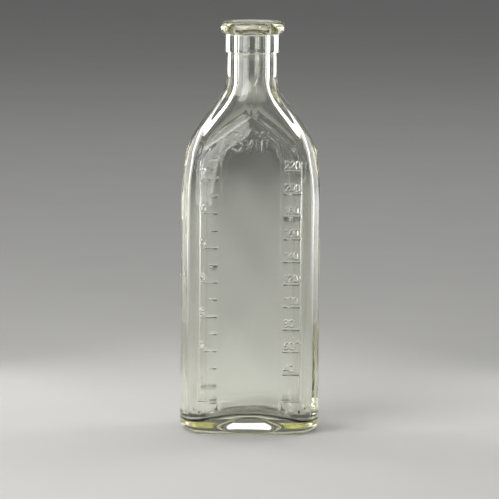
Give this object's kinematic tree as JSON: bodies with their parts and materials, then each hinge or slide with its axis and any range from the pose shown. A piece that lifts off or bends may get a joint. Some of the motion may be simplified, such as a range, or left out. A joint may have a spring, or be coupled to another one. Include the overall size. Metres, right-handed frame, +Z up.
{
  "type": "medicine bottle",
  "caption": "Clear glass graduated medicine bottle: eight-sided body, hipped shoulders, round neck with collar and flared lip, raised measuring scales on the front.",
  "frame": {"origin": "middle of the base, on the plane that the bottle stands on", "axes": "+Z up the neck; the graduated front panel faces -Y; the mould seams lie on the plane Y = 0, at +X and -X"},
  "size_m": [0.062, 0.0419, 0.183],
  "materials": {
    "clear_glass": "fire-polished, slightly wavy, pale yellow-green"
  },
  "bodies": {
    "root": {"base": "clear_glass", "body": "clear_glass", "shoulder": "clear_glass", "neck": "clear_glass", "collar": "clear_glass", "lip": "clear_glass", "ounce_lines": "clear_glass", "metric_lines": "clear_glass", "panel_borders": "clear_glass", "band_borders": "clear_glass", "ounce_figures": "clear_glass", "metric_figures": "clear_glass", "capacity_mark": "clear_glass"}
  },
  "joints": []
}
